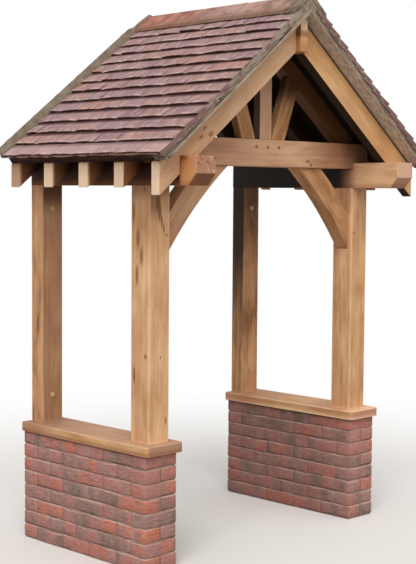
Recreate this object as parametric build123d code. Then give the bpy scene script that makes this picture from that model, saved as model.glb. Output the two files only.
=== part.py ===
from build123d import *
import math
import os

os.makedirs("parts", exist_ok=True)

# An oak-framed gabled porch canopy on two dwarf brick walls. Millimetres, +Z up.
# +X runs to the right as seen from in front, +Y runs to the back, which stands against a building.
# The origin lies on the floor, centred in width and in overall depth.

# Overall depth, from the front ends of the wall plates to the back.
overall_depth = 1300.0
y_back = overall_depth / 2
y_plate_end = -overall_depth / 2

# Dwarf brick walls: eight courses of 75, one brick thick, four and a half bricks deep.
wall_course = 75.0
course_count = 8
wall_height = wall_course * course_count
wall_thickness = 215.0
wall_depth = 1002.5
wall_outer_x = 915.0
wall_inner_x = wall_outer_x - wall_thickness
y_wall_front = y_back - wall_depth

# Oak sills on the walls.
sill_thickness = 50.0
sill_outer_overhang = 15.0
sill_inner_overhang = 25.0
sill_front_overhang = 30.0
sill_corner_radius = 25.0
sill_arris = 6.0
sill_top = wall_height + sill_thickness

# Posts.
post_size = 140.0
rear_post_depth = 100.0
post_side_set_back = 50.0
post_outer_x = wall_outer_x - post_side_set_back
post_inner_x = post_outer_x - post_size
post_set_back = 30.0
post_chamfer = 5.0
post_height = 1305.0
y_post_front = y_wall_front + post_set_back
y_post_back = y_post_front + post_size
y_rear_post = y_back - rear_post_depth

# Wall plates, with a bevelled nose at the front.
plate_bottom = sill_top + post_height
plate_depth = 145.0
plate_top = plate_bottom + plate_depth
plate_nose = 86.0
plate_bevel_run = 52.0

# Tenons and pegged joints.
tenon_thickness = 38.0
tenon_length = 60.0
post_tenon_shoulder = 20.0
brace_tenon_shoulder = 25.0
thin_tenon_thickness = 15.0
thin_tenon_width = 60.0

# Fixing holes through the rear posts, counterbored for a plug.
fixing_hole_radius = 6.5
fixing_counterbore_radius = 16.0
fixing_counterbore_depth = 25.0
fixing_low_offset = 147.0
fixing_high_offset = 128.0
fixing_z_low = sill_top + fixing_low_offset
fixing_z_high = plate_bottom - fixing_high_offset

# Roof planes: the rafters' top plane rises from a heel above the plates' outer edges to apex_z.
pitch = 38.0
sin_p = math.sin(math.radians(pitch))
cos_p = math.cos(math.radians(pitch))
tan_p = sin_p / cos_p
rafter_heel = 74.2
apex_z = plate_top + rafter_heel + tan_p * post_outer_x
rafter_tail_run = 135.0
rafter_foot_x = post_outer_x + rafter_tail_run

# Front truss.
truss_thickness = 75.0
principal_depth = 100.0
principal_set_back = 10.0
tie_cog = 34.0
tie_bottom = plate_top - tie_cog
tie_depth = 145.0
tie_top = tie_bottom + tie_depth
king_width = 95.0
king_thickness = 45.0
king_set_back = 20.0
strut_width = 100.0
strut_thickness = 45.0
strut_set_back = 35.0
strut_lean = 20.0
strut_base_x = 118.0
y_truss = (y_post_front + y_post_back) / 2

# Arch braces, with two curved edges between the front posts and the tie beam.
brace_thickness = 90.0
brace_reach = 444.0
brace_drop = 468.0
brace_head_width = 187.0
brace_foot_width = 192.0
brace_top_inner = post_inner_x - brace_reach
brace_top_outer = brace_top_inner + brace_head_width
brace_foot_low = tie_bottom - brace_drop
brace_foot_high = brace_foot_low + brace_foot_width
brace_inner_rise = 24.0
brace_outer_rise = 15.0

# Ridge beam and rafters.
ridge_width = 56.0
ridge_depth = 185.0
ridge_bottom = apex_z - ridge_depth
ridge_proud = 30.0
barge_thickness = 60.0
barge_depth = 128.5
barge_forward = 190.0
y_barge_front = y_wall_front - barge_forward
common_thickness = 75.0
common_depth = 100.0
common_spacing = 288.5
common_count = 3

# Roof covering, as layers above the rafters' top plane.
board_thickness = 12.0
board_set_back = 7.0
board_end = rafter_foot_x / cos_p - board_set_back
undercloak_thickness = 10.0
undercloak_width = 110.0
underlay_thickness = 1.0
batten_thickness = 25.0
batten_width = 38.0
tilting_fillet_thickness = 41.0
underlay_t = board_thickness + underlay_thickness
tile_bed = underlay_t + batten_thickness
eave_bed = underlay_t + tilting_fillet_thickness
tile_length = 265.0
tile_nib_set_in = 10.0
tile_thickness = 12.0
tile_stack = 44.0
tile_tail = tile_bed + tile_stack
eave_overhang = 38.0
eave_setback = 12.0
tile_eave = board_end + eave_overhang
tile_courses = 13
top_course_tail = 116.0
tile_gauge = (tile_eave - top_course_tail) / (tile_courses - 1)
verge_tile = 14.0
verge_overhang = 80.0
y_verge = y_barge_front - verge_overhang
ridge_tile_thickness = 14.0
ridge_tile_half_width = 122.0
ridge_tile_crest = 30.0
ridge_tile_lift = 1.0
ridge_bed_margin = 15.0
ridge_bed_recess = 8.0
fillet_width = 45.0
fillet_height = 34.0
fillet_front_height = 4.0
fillet_ridge_gap = 2.0


def prism(points, y0, y1):
    """A closed outline in X and Z, extended along Y."""
    outline = Wire.make_polygon([Vector(x, y0, z) for x, z in points], close=True)
    return extrude(Face(outline), amount=y1 - y0, dir=(0, 1, 0))


def block(x0, x1, y0, y1, z0, z1):
    """A box between two corners."""
    centre = Pos((x0 + x1) / 2, (y0 + y1) / 2, (z0 + z1) / 2)
    return centre * Box(x1 - x0, y1 - y0, z1 - z0)


def slope(s, t):
    """A point of the right-hand slope: s down the pitch from the apex, t above the rafters."""
    return (s * cos_p + t * sin_p, apex_z - s * sin_p + t * cos_p)


def top_z(x, drop=0.0):
    """Height of the rafters' top plane at x, or of a plane drop below it, square to the slope."""
    return apex_z - drop / cos_p - tan_p * abs(x)


def save(shape, name):
    """Write one piece as a single solid."""
    solids = shape.solids()
    if len(solids) != 1:
        raise ValueError(f"{name} has {len(solids)} solids")
    export_step(solids[0], f"parts/{name}.step")


def save_pair(shape, name):
    """Write a right-hand piece and its mirror image on the left."""
    save(shape, f"{name}_right")
    save(mirror(shape, about=Plane.YZ), f"{name}_left")


# Dwarf walls.
wall = block(wall_inner_x, wall_outer_x, y_wall_front, y_back, 0, wall_height)
save_pair(wall, "dwarf_wall")

# Sills, with rounded front corners and an eased top edge.
sill_x0 = wall_inner_x - sill_inner_overhang
sill_x1 = wall_outer_x + sill_outer_overhang
sill_y0 = y_wall_front - sill_front_overhang
sill = block(sill_x0, sill_x1, sill_y0, y_back, wall_height, sill_top)
corners = sill.edges().filter_by(Axis.Z).group_by(Axis.Y)[0]
sill = fillet(corners, sill_corner_radius)
rim = sill.faces().sort_by(Axis.Z)[-1].edges().sort_by(Axis.Y)[:-1]
sill = fillet(rim, sill_arris)

# Posts, with tenons into the plates; the rear pair takes the fixings at the back.
tenon_x0 = (post_inner_x + post_outer_x - tenon_thickness) / 2
tenon_x1 = tenon_x0 + tenon_thickness


def post(y0, y1):
    body = block(post_inner_x, post_outer_x, y0, y1, sill_top, plate_bottom)
    body = chamfer(body.edges().filter_by(Axis.Z), post_chamfer)
    in0 = y0 + post_tenon_shoulder
    in1 = y1 - post_tenon_shoulder
    return body, block(tenon_x0, tenon_x1, in0, in1, plate_bottom, plate_bottom + tenon_length)


front_post, front_tenon = post(y_post_front, y_post_back)
rear_post, rear_tenon = post(y_rear_post, y_back)
post_x = (post_inner_x + post_outer_x) / 2
for z in (fixing_z_low, fixing_z_high):
    along = Pos(post_x, y_back, z) * Rot(90, 0, 0)
    rear_post -= along * Cylinder(fixing_hole_radius, 3 * rear_post_depth)
    mouth = Pos(post_x, y_rear_post + fixing_counterbore_depth / 2, z) * Rot(90, 0, 0)
    rear_post -= mouth * Cylinder(fixing_counterbore_radius, fixing_counterbore_depth)

# Wall plates.
plate_side = [
    (y_plate_end, plate_top),
    (y_plate_end, plate_top - plate_nose),
    (y_plate_end + plate_bevel_run, plate_bottom),
    (y_back, plate_bottom),
    (y_back, plate_top),
]
outline = Wire.make_polygon([Vector(post_inner_x, y, z) for y, z in plate_side], close=True)
plate = extrude(Face(outline), amount=post_size, dir=(1, 0, 0))
plate -= front_tenon
plate -= rear_tenon
plate -= block(post_inner_x, post_outer_x, y_post_front, y_post_back, tie_bottom, plate_top)

# Tie beam, cogged over both plates, its ends cut to the roof slope.
tie_end_top = top_z(post_outer_x)
tie_crown = (apex_z - tie_top) / tan_p
tie = prism(
    [
        (-post_outer_x, tie_bottom),
        (post_outer_x, tie_bottom),
        (post_outer_x, tie_end_top),
        (tie_crown, tie_top),
        (-tie_crown, tie_top),
        (-post_outer_x, tie_end_top),
    ],
    y_post_front,
    y_post_back,
)


def rafter(y0, y1, depth, tail_depth, head_x):
    """A rafter with a plumb-cut foot and a notch seated on the wall plate."""
    seat_x = (apex_z - depth / cos_p - plate_top) / tan_p
    return prism(
        [
            (head_x, top_z(head_x)),
            (rafter_foot_x, top_z(rafter_foot_x)),
            (rafter_foot_x, top_z(rafter_foot_x, tail_depth)),
            (post_outer_x, top_z(post_outer_x, tail_depth)),
            (post_outer_x, plate_top),
            (seat_x, plate_top),
            (head_x, top_z(head_x, depth)),
        ],
        y0,
        y1,
    )


half_ridge = ridge_width / 2
barge = rafter(y_barge_front, y_barge_front + barge_thickness, barge_depth, barge_depth, half_ridge)
save_pair(barge, "barge_rafter")

y_common = y_back - common_thickness
for i in range(common_count):
    y0 = y_common - common_spacing * (common_count - 1 - i)
    common = rafter(y0, y0 + common_thickness, common_depth, common_depth, half_ridge)
    save_pair(common, f"common_rafter_{i + 1}")

# Principal rafters of the truss, let into slots in the tie beam.
y_p0 = y_truss + principal_set_back - truss_thickness / 2
y_p1 = y_p0 + truss_thickness
principal = rafter(y_p0, y_p1, principal_depth, common_depth, half_ridge)
tie -= principal
tie -= mirror(principal, about=Plane.YZ)
save_pair(principal, "principal_rafter")

# Ridge beam, its top bevelled to both slopes.
ridge = prism(
    [
        (-half_ridge, ridge_bottom),
        (half_ridge, ridge_bottom),
        (half_ridge, top_z(half_ridge)),
        (0, apex_z),
        (-half_ridge, top_z(half_ridge)),
    ],
    y_barge_front - ridge_proud,
    y_back,
)
save(ridge, "ridge_beam")

# King strut from the tie beam up to the ridge beam.
half_king = king_width / 2
king_y0 = y_post_front + king_set_back
king = block(-half_king, half_king, king_y0, king_y0 + king_thickness, tie_top, ridge_bottom)
t0 = king_y0 + (king_thickness - thin_tenon_thickness) / 2
t1 = t0 + thin_tenon_thickness
half_tenon = thin_tenon_width / 2
king_tenon = block(-half_tenon, half_tenon, t0, t1, tie_top - tenon_length, tie_top)
tie -= king_tenon
save(king + king_tenon, "king_strut")

# Leaning struts either side of the king strut.
lean = math.radians(strut_lean)
half_base = strut_width / 2 / math.cos(lean)
y_strut = y_post_front + strut_set_back


def strut_head(base_x):
    """Where a leaning edge that starts on the tie beam meets a principal's underside."""
    rise = (top_z(base_x, principal_depth) - tie_top) / (1 + tan_p * math.tan(lean))
    return (base_x + rise * math.tan(lean), tie_top + rise)


strut = prism(
    [
        (strut_base_x - half_base, tie_top),
        (strut_base_x + half_base, tie_top),
        strut_head(strut_base_x + half_base),
        strut_head(strut_base_x - half_base),
    ],
    y_strut,
    y_strut + strut_thickness,
)
t0 = y_strut + (strut_thickness - thin_tenon_thickness) / 2
t1 = t0 + thin_tenon_thickness
strut_x0 = strut_base_x - half_tenon
strut_x1 = strut_base_x + half_tenon
strut_tenon = block(strut_x0, strut_x1, t0, t1, tie_top - tenon_length, tie_top)
tie -= strut_tenon
tie -= mirror(strut_tenon, about=Plane.YZ)
save_pair(strut + strut_tenon, "leaning_strut")


# Arch braces: the curved edges are arcs that bow towards the corner of post and tie.
def arc_through(x0, z0, x1, z1, rise, y):
    """An arc between two points, bowed by rise away from the opening."""
    mid_x = (x0 + x1) / 2
    mid_z = (z0 + z1) / 2
    run = math.hypot(x1 - x0, z1 - z0)
    mid_x += rise * (z0 - z1) / run
    mid_z += rise * (x1 - x0) / run
    return ThreePointArc((x0, y, z0), (mid_x, y, mid_z), (x1, y, z1))


y_b0 = y_truss - brace_thickness / 2
inner = arc_through(brace_top_inner, tie_bottom, post_inner_x, brace_foot_low, brace_inner_rise, y_b0)
outer = arc_through(brace_top_outer, tie_bottom, post_inner_x, brace_foot_high, brace_outer_rise, y_b0)
head = Line((brace_top_inner, y_b0, tie_bottom), (brace_top_outer, y_b0, tie_bottom))
foot = Line((post_inner_x, y_b0, brace_foot_high), (post_inner_x, y_b0, brace_foot_low))
brace = extrude(Face(Wire([head, outer, foot, inner])), amount=brace_thickness, dir=(0, 1, 0))
t0 = y_truss - tenon_thickness / 2
t1 = y_truss + tenon_thickness / 2
x0 = brace_top_inner + brace_tenon_shoulder
x1 = brace_top_outer - brace_tenon_shoulder
head_tenon = block(x0, x1, t0, t1, tie_bottom, tie_bottom + tenon_length)
z0 = brace_foot_low + brace_tenon_shoulder
z1 = brace_foot_high - brace_tenon_shoulder
foot_tenon = block(post_inner_x, post_inner_x + tenon_length, t0, t1, z0, z1)
tie -= head_tenon
tie -= mirror(head_tenon, about=Plane.YZ)
front_post -= foot_tenon
save_pair(brace + head_tenon + foot_tenon, "arch_brace")

save(tie, "tie_beam")
save_pair(plate, "wall_plate")
save_pair(sill, "sill")
save_pair(front_post + front_tenon, "front_post")
save_pair(rear_post + rear_tenon, "rear_post")


# Boards over the rafters.
def sheet(t0, t1, s1, y0, y1):
    """A layer of the right-hand slope from the apex plane down to s1, between two heights."""
    outline = [slope(-t0 * tan_p, t0), slope(s1, t0), slope(s1, t1), slope(-t1 * tan_p, t1)]
    return prism(outline, y0, y1)


save_pair(sheet(0, board_thickness, board_end, y_barge_front, y_back), "roof_board")

# Undercloak on the boards, carrying the verge beyond the barge rafters.
bed_t = board_thickness + undercloak_thickness
undercloak = sheet(board_thickness, bed_t, board_end, y_verge, y_verge + undercloak_width)
save_pair(undercloak, "undercloak")

# Underlay on the boards, with a batten for the nibs of each full-length course, a tilting fillet
# at the eave and a last batten at the ridge.
y_batten = y_verge + undercloak_width
head_line = tile_eave - tile_length + tile_nib_set_in
full_courses = math.ceil((head_line - batten_width) / tile_gauge)
strips = [(board_end - batten_width, eave_bed), (0.0, tile_bed)]
strips += [(head_line - k * tile_gauge, tile_bed) for k in range(full_courses)]
covering = sheet(board_thickness, underlay_t, board_end, y_batten, y_back)
for head, top in strips:
    low = head + batten_width
    section = [slope(head, underlay_t), slope(low, underlay_t), slope(low, top), slope(head, top)]
    covering += prism(section, y_batten, y_back)
save_pair(covering, "battens")


# Plain tiles: each course laps the one below it and ends in a square tail.
def course_profile(drop):
    """Stepped top line from eave to ridge, lowered by drop."""
    line = []
    for k in range(tile_courses):
        tail = tile_eave - k * tile_gauge
        line.append((tail, tile_tail - drop))
        line.append((tail - tile_gauge, tile_tail - tile_thickness - drop))
    return [slope(s, t) for s, t in line]


under_tail = tile_eave - eave_setback
top_t = tile_tail - tile_thickness
full = course_profile(0) + [
    slope(-top_t * tan_p, top_t),
    slope(-tile_bed * tan_p, tile_bed),
    slope(board_end - batten_width, tile_bed),
    slope(board_end - batten_width, eave_bed),
    slope(under_tail, eave_bed),
    slope(under_tail, tile_tail - verge_tile),
    slope(tile_eave, tile_tail - verge_tile),
]
bed_end = tile_tail - verge_tile - tile_thickness * (tile_eave - board_end) / tile_gauge
bed = course_profile(verge_tile)[1:] + [
    slope(-(top_t - verge_tile) * tan_p, top_t - verge_tile),
    slope(-bed_t * tan_p, bed_t),
    slope(board_end, bed_t),
    slope(board_end, bed_end),
]
tiles = prism(full, y_verge, y_back)
bedding = prism(bed, y_verge, y_barge_front)
tiles -= bedding
save_pair(bedding, "verge_bedding")
save_pair(tiles, "tile_slope")

# Ridge tiles: one angled capping on two beds of mortar.
ridge_s = (ridge_tile_half_width - tile_tail * sin_p) / cos_p
cap_t0 = tile_tail + ridge_tile_lift
cap_t1 = cap_t0 + ridge_tile_thickness
mortar_t0 = top_t - verge_tile
ridge_bed = prism(
    [
        slope(-mortar_t0 * tan_p, mortar_t0),
        slope(ridge_s - ridge_bed_margin, mortar_t0),
        slope(ridge_s - ridge_bed_margin, cap_t0),
        slope(-cap_t0 * tan_p, cap_t0),
    ],
    y_verge + ridge_bed_recess,
    y_back,
)
ridge_bed -= tiles
ridge_bed -= bedding
save_pair(ridge_bed, "ridge_bedding")

half_cap = [
    slope(-cap_t0 * tan_p, cap_t0),
    slope(ridge_s, cap_t0),
    slope(ridge_s, cap_t1),
    slope(-cap_t1 * tan_p, cap_t1),
]
left_cap = [(-x, z) for x, z in half_cap]
capping = prism(half_cap + [left_cap[2], left_cap[1]], y_verge, y_back)
crest = capping.edges().filter_by(Axis.Y).sort_by(Axis.Z)[-1]
capping = fillet(crest, ridge_tile_crest)
save(capping, "ridge_capping")

# Mortar fillets along the back edges of the slopes.
fillet_s = ridge_s + fillet_ridge_gap
down = Vector(cos_p, 0, -sin_p)
normal = Vector(sin_p, 0, cos_p)
out = Vector(0, -fillet_width, 0)
start = Vector(slope(fillet_s, 0)[0], y_back, slope(fillet_s, 0)[1])
corners = [
    start + normal * (tile_tail - verge_tile),
    start + normal * (tile_tail + fillet_height),
    start + normal * (tile_tail + fillet_front_height) + out,
    start + normal * (tile_tail - verge_tile) + out,
]
mortar = Face(Wire.make_polygon(corners, close=True))
mortar = extrude(mortar, amount=tile_eave - fillet_s, dir=(down.X, down.Y, down.Z))
mortar -= tiles
save_pair(mortar, "wall_fillet")
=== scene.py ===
import math
import random

import bmesh
import bpy
from mathutils import Matrix, Vector, noise


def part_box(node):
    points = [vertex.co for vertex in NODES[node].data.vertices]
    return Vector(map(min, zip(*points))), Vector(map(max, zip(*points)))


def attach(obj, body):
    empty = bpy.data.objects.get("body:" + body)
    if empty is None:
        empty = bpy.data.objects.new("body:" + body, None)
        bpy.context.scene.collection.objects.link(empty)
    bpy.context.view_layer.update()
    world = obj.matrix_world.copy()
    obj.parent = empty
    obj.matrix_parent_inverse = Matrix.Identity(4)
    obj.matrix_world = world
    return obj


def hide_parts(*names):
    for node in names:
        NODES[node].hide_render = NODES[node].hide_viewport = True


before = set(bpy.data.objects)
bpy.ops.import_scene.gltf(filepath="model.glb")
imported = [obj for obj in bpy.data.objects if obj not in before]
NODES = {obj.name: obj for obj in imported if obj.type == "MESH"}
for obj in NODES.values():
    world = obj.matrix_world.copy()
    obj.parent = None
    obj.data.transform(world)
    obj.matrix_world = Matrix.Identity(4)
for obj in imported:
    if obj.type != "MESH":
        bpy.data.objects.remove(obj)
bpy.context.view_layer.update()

SIDES = {"left": -1.0, "right": 1.0}

# noise_vector takes its offsets from this seed, so each run gives the same bricks.
NOISE_SEED = 4
noise.seed_set(NOISE_SEED)


def low_of(node):
    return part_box(node)[0]


def high_of(node):
    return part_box(node)[1]


# Lengths are metres in the part's own frame: +X right, +Y to the back, +Z up.
# Roof planes, as distances down the slope (s) and square to it (t) above the rafters.
PITCH = math.radians(38.0)
SIN_P = math.sin(PITCH)
COS_P = math.cos(PITCH)
TAN_P = math.tan(PITCH)
APEX = high_of("ridge_beam").z
Y_FRONT = low_of("ridge_capping").y
Y_BACK = high_of("ridge_capping").y
TILE_TOP = 0.082
TILE_THICKNESS = 0.012
TILE_LENGTH = 0.265
TILE_WIDTH = 0.165
TILE_GAP = 0.0012
EAVE_TAIL = 1.300
EAVE_TILE_LENGTH = 0.19
EAVE_TILE_SET_BACK = 0.003
COURSES = 13
FIRST_GAUGE = 0.1035
LAST_GAUGE = 0.0873
EVEN_GAUGE = 0.0987
# How fast a tile's top falls behind the next one's, and how much less uneven the eave course is.
TILE_FALL = TILE_THICKNESS / EVEN_GAUGE
EAVE_PLAY = 0.45
TILE_SEEDS = {"left": 5, "right": 17}
# How far from the middle plane the lowest course's paler band begins.
EAVE_BAND = 0.990
UNDERCLOAK_TOP = 0.022
VERGE_BED_WIDTH = 0.080
VERGE_RECESS = 0.006
BOARD_END = 1.262
BOARD_WIDTH = 0.145

# Ridge tiles.
RIDGE_HALF = 0.122
RIDGE_THICKNESS = 0.014
RIDGE_TILES = 3
RIDGE_JOINT = 0.003
RIDGE_SEED = 3
RIDGE_TOP = 0.097
RIDGE_FOOT = APEX + RIDGE_TOP / COS_P - RIDGE_HALF * TAN_P
RIDGE_END_COVER = 0.058
CREST_ROUND = 0.014

# Mortar fillet along the back edge.
FILLET_WIDTH = 0.022
FILLET_TOE = TILE_TOP + 0.002
FILLET_BACK = 0.116
FILLET_BASE = TILE_TOP - 0.016

# Brickwork.
COURSE = 0.075
BRICK_LENGTH = 0.215
BRICK_WIDTH = 0.1025
JOINT = 0.007
BRICK_HEIGHT = COURSE - JOINT
PERPEND = 0.005
JOINT_RECESS = 0.0050
PERPEND_RECESS = 0.0030
WALL_SEEDS = {"left": 11, "right": 29}

# Timber.
SILL_BASE = low_of("sill_left").z
SILL_TOP = high_of("sill_left").z
SILL_FRONT = low_of("sill_left").y
SILL_OUTER = high_of("sill_right").x
POST_OUTER = high_of("front_post_right").x
POST_INNER = low_of("front_post_right").x
POST_FRONT = low_of("front_post_right").y
PLATE_BASE = low_of("wall_plate_left").z
PLATE_FRONT = low_of("wall_plate_left").y
BARGE_FRONT = low_of("barge_rafter_left").y
BRACE_FRONT = low_of("arch_brace_right").y
RAFTER_END = high_of("common_rafter_1_right").x
KING_HALF = high_of("king_strut").x
STRUT_LEAN = math.radians(20.0)
BRACE_RISE = math.radians(46.5)
ARRIS = 0.004

# Pegs and plugs, as (distance out of the face, radius) pairs, and where they sit, as (x, z).
PEG_RADIUS = 0.009
PLUG_RADIUS = 0.0155
PEG = [(-0.020, PEG_RADIUS), (0.0015, PEG_RADIUS), (0.0035, PEG_RADIUS - 0.003)]
PLUG = [
    (-0.023, PLUG_RADIUS),
    (0.0025, PLUG_RADIUS),
    (0.005, PLUG_RADIUS - 0.002),
    (0.006, PLUG_RADIUS - 0.006),
]
TRUSS_PEGS = [(-0.093, 2.170), (-0.002, 2.170), (0.086, 2.170), (-0.413, 2.100), (0.357, 2.082)]
BRACE_PEGS = [(-0.749, 1.706), (0.746, 1.697)]
FIXING_X = (POST_INNER + POST_OUTER) / 2
FIXINGS = [(x, z) for x in (-FIXING_X, FIXING_X) for z in (SILL_TOP + 0.147, PLATE_BASE - 0.128)]

# Light: the sky's strength away from the daylight's direction and towards it.
WORLD_BACK = 0.22
WORLD_FRONT = 0.88
DAYLIGHT_FROM = Vector((-0.46, -0.74, 0.49))
SUN_TOWARDS = Vector((0.66, 0.58, -0.78))
FLOOR_REACH = 24.0

# Colours are written as they look on screen, 0 to 255.
WHITE = (255, 255, 255)
DAYLIGHT = (255, 253.8, 252.7)
FLOOR_SEEN = (240, 238, 235)
FLOOR_BOUNCE = (172, 168, 162)
VERGE_LIGHT = (158, 144, 128)
VERGE_BASE = (134, 120, 108)
VERGE_DEEP = (84, 68, 56)
OAK_LIGHT = (231, 188, 147)
OAK_BASE = (211, 165, 121)
OAK_DEEP = (187, 138, 96)
OAK_DARK = (136, 90, 54)
OAK_RED = (192, 134, 104)
OAK_KNOT = (128, 80, 46)
OAK_END = (176, 128, 106)
OAK_PALE_END = (250, 222, 194)
OAK_GOLD_END = (214, 166, 118)
# Near-black painted shade for oak deep under the roof.
OAK_DEEP_SHADE = (40, 26, 19)
# Painted shade for oak end faces and bevels that look down.
OAK_UNDER_SHADE = (112, 68, 52)
# Painted highlight for oak arrises.
OAK_ARRIS_HIGHLIGHT = (236, 202, 164)
OAK_SHADED = (146, 92, 54)
OAK_BLUSH = (190, 152, 132)


def course_tails():
    """How far down the slope each course ends; the gauge closes up towards the ridge."""
    tails = [EAVE_TAIL]
    for course in range(COURSES - 1):
        closed = course / (COURSES - 2)
        tails.append(tails[-1] - FIRST_GAUGE - (LAST_GAUGE - FIRST_GAUGE) * closed)
    return tails


TAILS = course_tails()


def linear(colour):
    """A screen colour as the linear values that a shader takes."""
    return tuple((part / 255.0) ** 2.2 for part in colour) + (1.0,)


class Value:
    """What a node gives out, with plain arithmetic."""

    def __init__(self, graph, socket):
        self.graph = graph
        self.socket = socket

    def __add__(self, other):
        return self.graph.math("ADD", self, other)

    def __sub__(self, other):
        return self.graph.math("SUBTRACT", self, other)

    def __rsub__(self, other):
        return self.graph.math("SUBTRACT", other, self)

    def __mul__(self, other):
        return self.graph.math("MULTIPLY", self, other)

    def __truediv__(self, other):
        return self.graph.math("DIVIDE", self, other)

    def __abs__(self):
        return self.graph.math("ABSOLUTE", self)


class Graph:
    """A node tree, built step by step from values, numbers, places and screen colours."""

    def __init__(self, tree):
        self.tree = tree
        tree.nodes.clear()

    def feed(self, socket, value):
        if isinstance(value, Value):
            self.tree.links.new(value.socket, socket)
        elif socket.type == "RGBA":
            socket.default_value = linear(value)
        else:
            socket.default_value = value

    def add(self, kind, inputs=(), **settings):
        """A new node; inputs are pairs of a socket's name or number and what it is fed."""
        node = self.tree.nodes.new(kind)
        for key, value in settings.items():
            setattr(node, key, value)
        for key, value in inputs:
            self.feed(node.inputs[key], value)
        return node

    def out(self, node, key=0):
        return Value(self, node.outputs[key])

    def math(self, operation, a, b=0.0):
        return self.out(self.add("ShaderNodeMath", enumerate((a, b)), operation=operation))

    def vector(self, operation, a, b=(0.0, 0.0, 0.0)):
        node = self.add("ShaderNodeVectorMath", enumerate((a, b)), operation=operation)
        return self.out(node, "Value" if operation in ("DOT_PRODUCT", "LENGTH") else "Vector")

    def split(self, vector):
        node = self.add("ShaderNodeSeparateXYZ", [(0, vector)])
        return [Value(self, socket) for socket in node.outputs]

    def join(self, x, y, z):
        return self.out(self.add("ShaderNodeCombineXYZ", enumerate((x, y, z))))

    def noise(self, at, scale, detail=3.0, roughness=0.5, distortion=0.0, line=False):
        """Cloudy noise at a place, or along a line for one number; scale may differ by axis."""
        if isinstance(scale, tuple):
            at = self.vector("MULTIPLY", at, scale)
            scale = 1.0
        inputs = {
            "W" if line else "Vector": at,
            "Scale": scale,
            "Detail": detail,
            "Roughness": roughness,
            "Distortion": distortion,
        }
        node = self.add("ShaderNodeTexNoise", inputs.items(), noise_dimensions="1D" if line else "3D")
        return self.out(node, "Fac")

    def remap(self, value, low, high, out_low=0.0, out_high=1.0, kind="SMOOTHSTEP"):
        inputs = enumerate((value, low, high, out_low, out_high))
        return self.out(self.add("ShaderNodeMapRange", inputs, interpolation_type=kind))

    def ramp(self, value, stops):
        node = self.add("ShaderNodeValToRGB", [(0, value)])
        elements = node.color_ramp.elements
        while len(elements) < len(stops):
            elements.new(0.5)
        for element, (position, colour) in zip(elements, stops):
            element.position = position
            element.color = linear(colour)
        return self.out(node)

    def mix(self, factor, a, b):
        return self.out(self.add("ShaderNodeMix", ((0, factor), (6, a), (7, b)), data_type="RGBA"), 2)

    def blend(self, colour, tint, value, start, stop, strength=1.0):
        """A tint over a colour: none where the value is at start, full strength where it is at stop."""
        return self.mix(self.remap(value, start, stop, 0.0, strength), colour, tint)


class Finish(Graph):
    """A material on one principled shader, whose colour is laid on in layers."""

    def __init__(self, name, roughness):
        self.material = bpy.data.materials.new(name)
        self.material.use_nodes = True
        super().__init__(self.material.node_tree)
        self.shader = self.add("ShaderNodeBsdfPrincipled")
        self.shader.inputs["Roughness"].default_value = roughness
        self.shader.inputs["Specular IOR Level"].default_value = 0.25
        self.output = self.add("ShaderNodeOutputMaterial", [(0, self.out(self.shader))])
        self.place = self.out(self.add("ShaderNodeTexCoord"), "Object")
        self.colour = WHITE

    def attribute(self, name, key="Fac"):
        """What Pile wrote on the mesh: a piece's tone, or its local place."""
        return self.out(self.add("ShaderNodeAttribute", attribute_name=name), key)

    def normal(self):
        return self.out(self.add("ShaderNodeNewGeometry"), "Normal")

    def tint(self, amount, tint):
        self.colour = self.mix(amount, self.colour, tint)

    def stain(self, tint, value, start, stop, strength=1.0):
        """Blends a tint over the colour so far."""
        self.colour = self.blend(self.colour, tint, value, start, stop, strength)

    def finished(self, height, distance, strength):
        """The material with its colour and its relief."""
        inputs = {"Strength": strength, "Distance": distance, "Height": height}
        bump = self.add("ShaderNodeBump", inputs.items())
        self.feed(self.shader.inputs["Base Color"], self.colour)
        self.feed(self.shader.inputs["Normal"], self.out(bump))
        return self.material


def knot_mask(g, along, knots):
    """1 at the heart of each knot, falling off faster across the grain than along it."""
    mask = 0.0
    for place, radius, length in knots:
        gap = g.vector("SUBTRACT", g.place, place)
        lengthwise = g.vector("DOT_PRODUCT", gap, along)
        three = g.join(lengthwise, lengthwise, lengthwise)
        gap = g.vector("SUBTRACT", gap, g.vector("MULTIPLY", three, along * (1.0 - radius / length)))
        near = g.vector("LENGTH", gap) / radius
        mask = g.math("MAXIMUM", g.math("EXPONENT", near * near * -1.0), mask)
    return mask


def edge_distance(g, low, high):
    """How far a point of a box's skin is from the box's nearest edge."""
    depths = []
    for axis, part in enumerate(g.split(g.place)):
        from_middle = abs(part - (low[axis] + high[axis]) / 2)
        depths.append((high[axis] - low[axis]) / 2 - from_middle)
    smaller = g.math("MINIMUM", depths[0], depths[1])
    larger = g.math("MAXIMUM", depths[0], depths[1])
    return g.math("MAXIMUM", smaller, g.math("MINIMUM", larger, depths[2]))


# What a tint's limit goes by: distance from the middle plane, Y, Z, or how far a face looks down.
REACH, DEPTH, HEIGHT, LOOKS_DOWN = range(4)


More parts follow.
